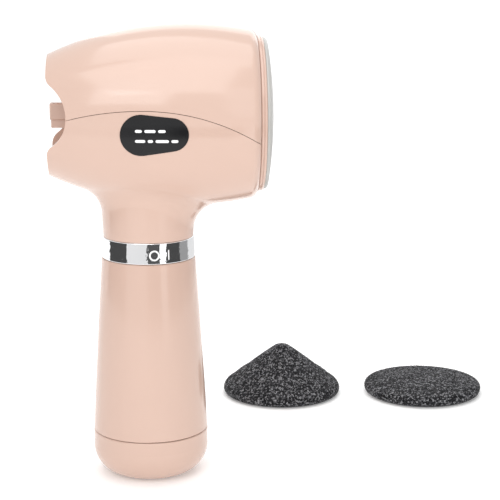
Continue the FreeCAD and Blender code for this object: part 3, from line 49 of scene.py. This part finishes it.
GRAIN_SINK = 0.35         # share of a grain's size that is bedded in the coat
LIGHT_AIM = (0.02, 0.0, 0.11)
FLOOR_GAP = 0.2 * MM


# ---- camera --------------------------------------------------------------------------------------
camera_data = bpy.data.cameras.new("camera")
camera_data.lens = 110.5
camera_data.sensor_width = 36.0
camera_data.clip_start = 0.01
camera_data.clip_end = 50.0
camera = bpy.data.objects.new("camera", camera_data)
camera.location = (0.0, -0.6026, 0.2170)
camera.rotation_euler = (math.radians(90 - 11.79), 0.0, math.radians(-3.86))
scene.collection.objects.link(camera)
scene.camera = camera


# ---- node helpers --------------------------------------------------------------------------------
def srgb(r, g, b):
    """sRGB 0-255 to linear, with alpha 1."""
    def one(v):
        v /= 255.0
        return v / 12.92 if v <= 0.04045 else ((v + 0.055) / 1.055) ** 2.4
    return (one(r), one(g), one(b), 1.0)


class Shader:
    """A Principled material with short calls for the nodes that feed it."""

    def __init__(self, name, **sockets):
        self.material = bpy.data.materials.new(name)
        self.material.use_nodes = True
        self.tree = self.material.node_tree
        self.bsdf = self.tree.nodes["Principled BSDF"]
        self.coordinates = self.tree.nodes.new("ShaderNodeTexCoord").outputs["Object"]
        for key, value in sockets.items():
            self.bsdf.inputs[key.replace("_", " ")].default_value = value

    def link(self, source, target):
        self.tree.links.new(source, target)

    def mapped(self, scale):
        """Object coordinates stretched by a scale for each axis."""
        node = self.tree.nodes.new("ShaderNodeMapping")
        node.inputs["Scale"].default_value = scale
        self.link(self.coordinates, node.inputs["Vector"])
        return node.outputs["Vector"]

    def noise(self, scale, detail=3.0, roughness=0.55, vector=None):
        node = self.tree.nodes.new("ShaderNodeTexNoise")
        node.inputs["Scale"].default_value = scale
        node.inputs["Detail"].default_value = detail
        node.inputs["Roughness"].default_value = roughness
        self.link(vector or self.coordinates, node.inputs["Vector"])
        return node.outputs["Fac"]

    def cells(self, scale, output="Distance", feature="F1"):
        node = self.tree.nodes.new("ShaderNodeTexVoronoi")
        node.feature = feature
        node.inputs["Scale"].default_value = scale
        self.link(self.coordinates, node.inputs["Vector"])
        return node.outputs[output]

    def ramp(self, factor, *stops):
        """Colour ramp from (position, colour) stops; a bare number is a grey."""
        node = self.tree.nodes.new("ShaderNodeValToRGB")
        elements = node.color_ramp.elements
        while len(elements) < len(stops):
            elements.new(0.5)
        for element, (position, colour) in zip(elements, stops):
            element.position = position
            element.color = colour if isinstance(colour, tuple) else (colour, colour, colour, 1.0)
        self.link(factor, node.inputs["Fac"])
        return node.outputs["Color"]

    def colour(self, factor, *stops):
        self.link(self.ramp(factor, *stops), self.bsdf.inputs["Base Color"])
        return self

    def rough(self, factor, low, high):
        """Roughness between low and high, driven by factor."""
        self.link(self.ramp(factor, (0.3, low), (0.7, high)), self.bsdf.inputs["Roughness"])
        return self

    def bump(self, *layers):
        """Layers of (height, strength, distance in metres), chained into the shader's normal."""
        normal = None
        for height, strength, distance in layers:
            node = self.tree.nodes.new("ShaderNodeBump")
            node.inputs["Strength"].default_value = strength
            node.inputs["Distance"].default_value = distance
            self.link(height, node.inputs["Height"])
            if normal is not None:
                self.link(normal, node.inputs["Normal"])
            normal = node.outputs["Normal"]
        self.link(normal, self.bsdf.inputs["Normal"])
        return self


def gloss_plastic(name, light, dark, low, high, **extra):
    """Moulded glossy plastic: faint flow marks in the colour, clouded gloss and slight orange peel."""
    s = Shader(name, IOR=1.49, **extra)
    flow = s.noise(18.0, 4.0)
    s.colour(flow, (0.3, dark), (0.7, light))
    s.rough(s.noise(70.0, 3.0), low, high)
    s.bump((s.noise(110.0, 2.0), 0.012, 0.0004))
    return s.material


def matte_plastic(name, light, dark, low, high, grain=2600.0):
    """Spark-eroded matte plastic with a fine even grain."""
    s = Shader(name, IOR=1.5)
    grain_height = s.noise(grain, 3.0, 0.6)
    s.colour(s.noise(60.0, 3.0), (0.3, dark), (0.7, light))
    s.rough(grain_height, low, high)
    s.bump((grain_height, 0.25, 0.00006))
    return s.material


def metal(name, light, dark, low, high, stretch, strength=0.1):
    """Turned or drawn metal: fine lines along one direction, with stains in the colour."""
    s = Shader(name, Metallic=1.0)
    lines = s.noise(700.0, 4.0, 0.7, s.mapped(stretch))
    s.colour(s.noise(90.0, 4.0), (0.3, dark), (0.7, light))
    s.rough(lines, low, high)
    s.bump((lines, strength, 0.00005))
    return s.material


# ---- materials by slot ---------------------------------------------------------------------------
def shell_pink():
    return gloss_plastic("shell_pink", srgb(209, 179, 164), srgb(206, 176, 161), 0.13, 0.17,
                         Coat_Weight=0.15, Coat_Roughness=0.08)


def badge_black():
    return gloss_plastic("badge_black", (0.012, 0.012, 0.013, 1.0), (0.007, 0.007, 0.008, 1.0),
                         0.18, 0.26, Specular_IOR_Level=0.32)


def guard_grey():
    """Cloudy grey plastic that lets some light through."""
    s = Shader("guard_grey", IOR=1.49, Transmission_Weight=0.25)
    s.colour(s.noise(40.0, 3.0), (0.3, srgb(197, 196, 191)), (0.7, srgb(206, 205, 201)))
    s.rough(s.noise(700.0, 4.0), 0.30, 0.42)
    s.bump((s.noise(260.0, 2.0), 0.05, 0.0003))
    return s.material


def ring_chrome():
    """Plated ring with a faint haze round it and slight waves in its gloss."""
    s = Shader("ring_chrome", Metallic=1.0)
    haze = s.noise(420.0, 5.0, 0.65, s.mapped((1.0, 1.0, 0.2)))
    s.colour(s.noise(35.0, 2.0), (0.3, (0.86, 0.865, 0.88, 1.0)), (0.7, (0.93, 0.93, 0.94, 1.0)))
    s.rough(haze, 0.035, 0.075)
    s.bump((s.noise(70.0, 2.0), 0.04, 0.0006), (s.noise(420.0, 2.0), 0.45, 0.0002))
    return s.material


def cell_sleeve():
    """Battery sleeve in bands along its height: bare metal, green, copper and bare metal."""
    s = Shader("cell_sleeve", Coat_Weight=0.5, Coat_Roughness=0.08)
    place = s.tree.nodes.new("ShaderNodeSeparateXYZ")
    s.link(s.coordinates, place.inputs["Vector"])
    s.colour(place.outputs["Z"], (0.0, (0.62, 0.63, 0.64, 1.0)), (0.0212, (0.05, 0.22, 0.10, 1.0)),
             (0.0560, (0.72, 0.55, 0.25, 1.0)), (0.0680, (0.62, 0.63, 0.64, 1.0)))
    s.rough(s.noise(500.0, 3.0), 0.2, 0.32)
    return s.material


def board_green():
    """Lacquered circuit board with light seams between its copper areas."""
    s = Shader("board_green", IOR=1.5)
    tracks = s.cells(420.0, "Distance", "DISTANCE_TO_EDGE")
    s.colour(tracks, (0.02, (0.10, 0.34, 0.16, 1.0)), (0.10, (0.03, 0.16, 0.07, 1.0)))
    s.rough(s.noise(800.0), 0.25, 0.4)
    s.bump((tracks, 0.2, 0.00005))
    return s.material


def filter_foam():
    """Open-pored dark foam, with painted shade darkening the middle of each pore."""
    s = Shader("filter_foam", Sheen_Weight=0.3)
    pores = s.cells(900.0)
    # Painted shade: each pore is darkest in its middle and lighter towards the struts around it.
    s.colour(pores, (0.15, (0.015, 0.015, 0.017, 1.0)), (0.6, (0.16, 0.16, 0.17, 1.0)))
    s.rough(pores, 0.8, 0.95)
    s.bump((pores, 0.9, 0.0006), (s.noise(2500.0), 0.3, 0.0001))
    return s.material


def grit_black():
    """Bond that holds the grains: black, with painted glints, where small crystals are coloured light grey
    to stand for light caught on them.
    """
    s = Shader("grit_black", Specular_IOR_Level=0.12)
    crystal_glints = s.cells(1500.0, "Color")
    # Dark random tone of the bond, with painted glints where the brightest cells turn light grey.
    s.colour(crystal_glints, (0.35, (0.003, 0.003, 0.004, 1.0)), (0.55, (0.012, 0.012, 0.014, 1.0)),
             (0.66, (0.045, 0.045, 0.050, 1.0)), (0.80, (0.25, 0.25, 0.26, 1.0)))
    s.rough(crystal_glints, 0.35, 0.8)
    s.bump((s.cells(1500.0), 0.8, 0.0003), (s.noise(3000.0, 4.0), 0.3, 0.0001))
    return s.material


def plain_plastics():
    """Matte plastics, rubber and magnet, each from its light and dark colour and its roughness."""
    finishes = (
        ("plastic_white", (0.80, 0.79, 0.76, 1.0), (0.74, 0.73, 0.70, 1.0), 0.35, 0.5),
        ("plastic_black", (0.030, 0.030, 0.032, 1.0), (0.020, 0.020, 0.022, 1.0), 0.4, 0.55),
        ("plastic_grey", (0.34, 0.34, 0.35, 1.0), (0.28, 0.28, 0.29, 1.0), 0.35, 0.5),
        ("magnet", (0.075, 0.075, 0.08, 1.0), (0.05, 0.05, 0.055, 1.0), 0.5, 0.7, 1500.0),
        ("seal_rubber", (0.05, 0.05, 0.05, 1.0), (0.03, 0.03, 0.03, 1.0), 0.5, 0.65),
        ("wire_red", (0.55, 0.03, 0.025, 1.0), (0.42, 0.02, 0.02, 1.0), 0.3, 0.42),
        ("wire_black", (0.03, 0.03, 0.03, 1.0), (0.02, 0.02, 0.02, 1.0), 0.3, 0.42),
    )
    return {finish[0]: matte_plastic(*finish) for finish in finishes}


def bare_metals():
    """Metals, each from its light and dark colour, its roughness and the stretch of its lines."""
    finishes = (
        ("steel", (0.62, 0.62, 0.64, 1.0), (0.52, 0.52, 0.54, 1.0), 0.22, 0.38, (0.15, 1.0, 1.0)),
        ("iron", (0.28, 0.27, 0.26, 1.0), (0.20, 0.19, 0.19, 1.0), 0.35, 0.5, (6.0, 0.2, 0.2), 0.3),
        ("brass", (0.78, 0.58, 0.28, 1.0), (0.66, 0.47, 0.21, 1.0), 0.2, 0.34, (0.15, 1.0, 1.0)),
    )
    return {finish[0]: metal(*finish) for finish in finishes}


def make_materials():
    """Every material by the name of its slot."""
    special = {
        "shell_pink": shell_pink(),
        "badge_black": badge_black(),
        "guard_grey": guard_grey(),
        "ring_chrome": ring_chrome(),
        "cell_sleeve": cell_sleeve(),
        "board_green": board_green(),
        "filter_foam": filter_foam(),
        "grit_black": grit_black(),
    }
    return special | plain_plastics() | bare_metals()


materials = make_materials()
slot_of = {p["node"]: p["material_slot"] for p in frame["record"]["subparts"]}
for name, node in nodes.items():
    for place in node.material_slots:
        place.material = materials[slot_of[name]]


# ---- floor and light -----------------------------------------------------------------------------
def make_floor():
    """Pale paper floor, wide enough to fill every view."""
    mesh = bpy.data.meshes.new("floor")
    half = 6.0
    corners = [(-half, -half, 0), (half, -half, 0), (half, half, 0), (-half, half, 0)]
    mesh.from_pydata(corners, [], [(0, 1, 2, 3)])
    floor = bpy.data.objects.new("floor", mesh)
    floor.location = (0, 0, -FLOOR_GAP)
    scene.collection.objects.link(floor)
    s = Shader("floor_paper", Roughness=0.9, Specular_IOR_Level=0.1,
               Emission_Color=(1.0, 1.0, 1.0, 1.0), Emission_Strength=0.20)
    s.colour(s.noise(3.0), (0.3, 0.90), (0.7, 0.92))
    mesh.materials.append(s.material)


def area_light(name, at, size, power):
    """Rectangular lamp that points at the middle of the handset."""
    data = bpy.data.lights.new(name, "AREA")
    data.shape = "RECTANGLE"
    data.size, data.size_y = size
    data.energy = power
    light = bpy.data.objects.new(name, data)
    light.location = at
    light.rotation_euler = (Vector(LIGHT_AIM) - Vector(at)).to_track_quat("-Z", "Y").to_euler()
    scene.collection.objects.link(light)


def glow(name, level):
    """Even white emission without any reflection of its own."""
    s = Shader(name, Base_Color=(0.0, 0.0, 0.0, 1.0), Roughness=1.0, Specular_IOR_Level=0.0,
               Emission_Color=(1.0, 1.0, 1.0, 1.0), Emission_Strength=level)
    return s.material


def set_piece(name, corners, faces, level):
    """Glowing card that the camera and clear plastic don't see."""
    mesh = bpy.data.meshes.new(name)
    mesh.from_pydata(corners, [], faces)
    mesh.materials.append(glow(name, level))
    card = bpy.data.objects.new(name, mesh)
    scene.collection.objects.link(card)
    card.visible_camera = False
    card.visible_transmission = False
    return card


def only_glossy(card):
    """Leave a card to reflections alone."""
    card.visible_diffuse = False
    card.visible_shadow = False


def curved_card(name, radius, bottom, top, start, end, level):
    """Upright card round the handle. Its angles run from the front towards +X."""
    steps = 12
    angles = [math.radians(start + (end - start) * i / steps) for i in range(steps + 1)]
    corners = [(radius * math.sin(a), -radius * math.cos(a), z) for a in angles for z in (bottom, top)]
    faces = [(2 * i, 2 * i + 2, 2 * i + 3, 2 * i + 1) for i in range(steps)]
    return set_piece(name, corners, faces, level)


def mirrored_card(name, start, end, level):
    """Low card for one band in the chrome, seen in reflections alone."""
    only_glossy(curved_card(name, 0.30, 0.03, 0.10, start, end, level))


def side_flag(name, start, end):
    """Grey card that takes light off the object's side and stays out of its reflections."""
    card = curved_card(name, 0.42, 0.10, 0.50, start, end, 0.2)
    card.visible_glossy = False


def softbox(name, level):
    """White panel above the front of the set, seen in reflections alone."""
    corners = [(-0.55, -0.95, 0.75), (0.30, -0.95, 0.75), (0.30, -0.15, 0.95), (-0.55, -0.15, 0.95)]
    only_glossy(set_piece(name, corners, [(0, 1, 2, 3)], level))


def make_light():
    """Pale studio light, and the cards that shape it on the chrome and the sides."""
    world = bpy.data.worlds.new("studio")
    scene.world = world
    world.use_nodes = True
    background = world.node_tree.nodes["Background"]
    background.inputs["Color"].default_value = (1.0, 1.0, 1.0, 1.0)
    background.inputs["Strength"].default_value = 1.0
    area_light("key", (-0.35, -0.85, 0.75), (0.6, 0.6), 2.7)
    area_light("fill", (0.45, -0.75, 0.45), (0.4, 0.6), 0.6)
    area_light("top", (0.05, 0.1, 1.0), (0.9, 0.6), 2.6)
    area_light("rear", (0.2, 0.9, 0.6), (0.8, 0.6), 1.4)
    # The chrome ring mirrors these bands: dark flags and white panels round the set.
    bands = ((-110, -54, 0.07), (-54, -4, 0.85), (-4, 27, 0.10), (27, 42, 1.5), (42, 82, 0.07),
             (82, 112, 0.35), (112, 180, 0.85))
    for number, (start, end, level) in enumerate(bands):
        mirrored_card("card_%d" % number, start, end, level)
    softbox("softbox", 3.0)
    side_flag("flag_left", -125, -62)
    side_flag("flag_right", 62, 125)
    scene.view_settings.view_transform = "Standard"
    scene.view_settings.look = "None"


make_floor()
make_light()


# ---- pieces --------------------------------------------------------------------------------------
def new_piece(name, body, mesh, material):
    """A piece that rides on a body and takes its finish from a slot."""
    piece = bpy.data.objects.new(name, mesh)
    scene.collection.objects.link(piece)
    mesh.materials.append(material)
    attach(piece, body)
    return piece


def surface_of(node):
    """A tree of a CAD node's triangles, for laying marks on it."""
    mesh = nodes[node].data
    corners = [v.co.copy() for v in mesh.vertices]
    return BVHTree.FromPolygons(corners, [tuple(p.vertices) for p in mesh.polygons])


def printed(outline, hole, place):
    """Vertices and faces of a print between an outline and an optional hole of as many points."""
    count = len(outline)
    vertices = [place(u, v) for u, v in outline + (hole or [])]
    if hole:
        edges = [(i, (i + 1) % count) for i in range(count)]
        return vertices, [(i, j, count + j, count + i) for i, j in edges]
    return vertices, [tuple(range(count))]


def circle(radius, steps=40):
    angles = [2 * math.pi * i / steps for i in range(steps)]
    return [(radius * math.cos(a), radius * math.sin(a)) for a in angles]


def capsule(length, width, steps=8):
    """Outline of a bar with round ends, along u."""
    r = width / 2
    points = []
    for end, first in ((length / 2 - r, -math.pi / 2), (r - length / 2, math.pi / 2)):
        for i in range(steps + 1):
            a = first + math.pi * i / steps
            points.append((end + r * math.cos(a), r * math.sin(a)))
    return points


def print_mesh(name, parts):
    """One mesh from several (vertices, faces) pairs."""
    vertices, faces = [], []
    for part_vertices, part_faces in parts:
        base = len(vertices)
        vertices += part_vertices
        faces += [tuple(base + i for i in face) for face in part_faces]
    mesh = bpy.data.meshes.new(name)
    mesh.from_pydata(vertices, [], faces)
    return mesh


# A crystal is an eight-sided double pyramid, whose six corners grain_mesh moves in and out.
CRYSTAL_CORNERS = ((1, 0, 0), (-1, 0, 0), (0, 1, 0), (0, -1, 0), (0, 0, 1), (0, 0, -1))
CRYSTAL_FACES = ((0, 2, 4), (2, 1, 4), (1, 3, 4), (3, 0, 4), (2, 0, 5), (1, 2, 5), (3, 1, 5), (0, 3, 5))


def outer_triangles(node):
    """Triangles of the outer side of a coat as (area so far, a, b, c, normal), and their whole area."""
    mesh = nodes[node].data
    low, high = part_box(node)
    axis = Vector(((low[0] + high[0]) / 2, (low[1] + high[1]) / 2, 0))
    rim_r = (high[0] - low[0]) * 0.46
    faces, total = [], 0.0
    for polygon in mesh.polygons:
        outward = polygon.center - axis
        outward.z = 0
        on_rim = outward.length > rim_r and polygon.normal.dot(outward) > 0
        if (polygon.normal.z > 0.15 or on_rim) and polygon.area > 0:
            corners = [mesh.vertices[i].co for i in polygon.vertices]
            for b, c in zip(corners[1:], corners[2:]):
                total += (b - corners[0]).cross(c - corners[0]).length / 2
                faces.append((total, corners[0], b, c, polygon.normal.copy()))
    return faces, total


def grain_mesh(name, node, count, seed):
    """Sharp crystals bedded all over the outer side of a coat, as one mesh."""
    rng = random.Random(seed)
    faces, total = outer_triangles(node)
    small, large = GRAIN_SIZES
    vertices, triangles = [], []
    at = 0
    step = total / count
    spot = rng.random() * step
    for _ in range(count):
        while at < len(faces) - 1 and faces[at][0] < spot:
            at += 1
        _, a, b, c, normal = faces[at]
        spot += step * (0.6 + 0.8 * rng.random())
        u, v = rng.random(), rng.random()
        if u + v > 1:
            u, v = 1 - u, 1 - v
        size = small + (large - small) * rng.random() ** 2
        centre = a + (b - a) * u + (c - a) * v - normal * size * GRAIN_SINK
        spin = Matrix.Rotation(rng.random() * math.tau, 3, "Z")
        tilt = Matrix.Rotation(rng.random() * math.tau, 3, "X")
        base = len(vertices)
        for corner in CRYSTAL_CORNERS:
            reach = size * (0.65 + 0.5 * rng.random())
            vertices.append(centre + spin @ tilt @ Vector(corner) * reach)
        triangles += [(base + i, base + j, base + k) for i, j, k in CRYSTAL_FACES]
    grains = bpy.data.meshes.new(name)
    grains.from_pydata(vertices, [], triangles)
    return grains


def make_grit():
    """Separate grains over the bond of both loose heads."""
    s = Shader("grain", Specular_IOR_Level=0.15)
    # Random dark tone of the grains, with painted glints where the brightest cells turn light grey.
    s.colour(s.cells(1300.0, "Color"), (0.35, (0.004, 0.004, 0.005, 1.0)),
             (0.55, (0.016, 0.016, 0.019, 1.0)), (0.68, (0.050, 0.050, 0.056, 1.0)),
             (0.80, (0.34, 0.34, 0.36, 1.0)))
    s.rough(s.noise(1500.0), 0.15, 0.5)
    s.bump((s.noise(5000.0, 2.0), 0.3, 0.00005))
    for pad, body, count, seed in (("flat_pad", "flat_head", 12000, 3), ("cone_pad", "cone_head", 14000, 5)):
        mesh = grain_mesh(pad + "_grains", pad + "_grit", count, seed)
        new_piece(pad + "_grains", body, mesh, s.material)


def ink_shader():
    s = Shader("white_ink", IOR=1.5)
    s.colour(s.noise(900.0), (0.3, 0.80), (0.7, 0.90))
    s.rough(s.noise(2500.0), 0.35, 0.5)
    return s.material


def make_ring_marks(ink):
    """A ring for off and a bar for on, printed on the switch ring right of the front."""
    surface = surface_of("switch_ring")
    low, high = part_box("switch_ring")
    middle_z = (low[2] + high[2]) / 2 - 0.6 * MM
    skin_r = (high[0] - low[0]) / 2

    def at(angle):
        def place(u, v):
            a = math.radians(angle) + u / skin_r
            outward = Vector((math.sin(a), -math.cos(a), 0))
            start = outward * skin_r * 2
            start.z = middle_z + v
            hit = surface.ray_cast(start, -outward)[0]
            return hit + outward * INK_LIFT
        return place

    upright_bar = [(v, u) for u, v in reversed(capsule(4.0 * MM, 0.55 * MM))]
    off = printed(circle(2.1 * MM), circle(1.45 * MM), at(6.8))
    on = printed(upright_bar, None, at(25.0))
    new_piece("switch_marks", "switch", print_mesh("switch_marks", [off, on]), ink)


def make_badge_print(ink):
    """Two rows of plain dashes on the badge, in place of its lettering."""
    surface = surface_of("badge_plate")
    low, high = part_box("badge_plate")
    centre_x, centre_z = (low[0] + high[0]) / 2, (low[2] + high[2]) / 2

    def at(x, z):
        def place(u, v):
            start = Vector((centre_x + x + u, low[1] - 50 * MM, centre_z + z + v))
            hit = surface.ray_cast(start, Vector((0, 1, 0)))[0]
            return hit + Vector((0, -INK_LIFT, 0))
        return place

    # Each row is its height and the lengths of its dashes, in millimetres.
    rows = ((1.7, (2.6, 4.2, 2.8)), (-2.1, (3.8, 2.0, 5.0, 2.6)))
    row_start, gap, dash_width = -7.2, 0.9, 1.1
    parts = []
    for z, lengths in rows:
        x = row_start
        for length in lengths:
            dash = capsule(length * MM, dash_width * MM)
            parts.append(printed(dash, None, at((x + length / 2) * MM, z * MM)))
            x += length + gap
    new_piece("badge_print", "handset", print_mesh("badge_print", parts), ink)


make_grit()
ink = ink_shader()
make_ring_marks(ink)
make_badge_print(ink)
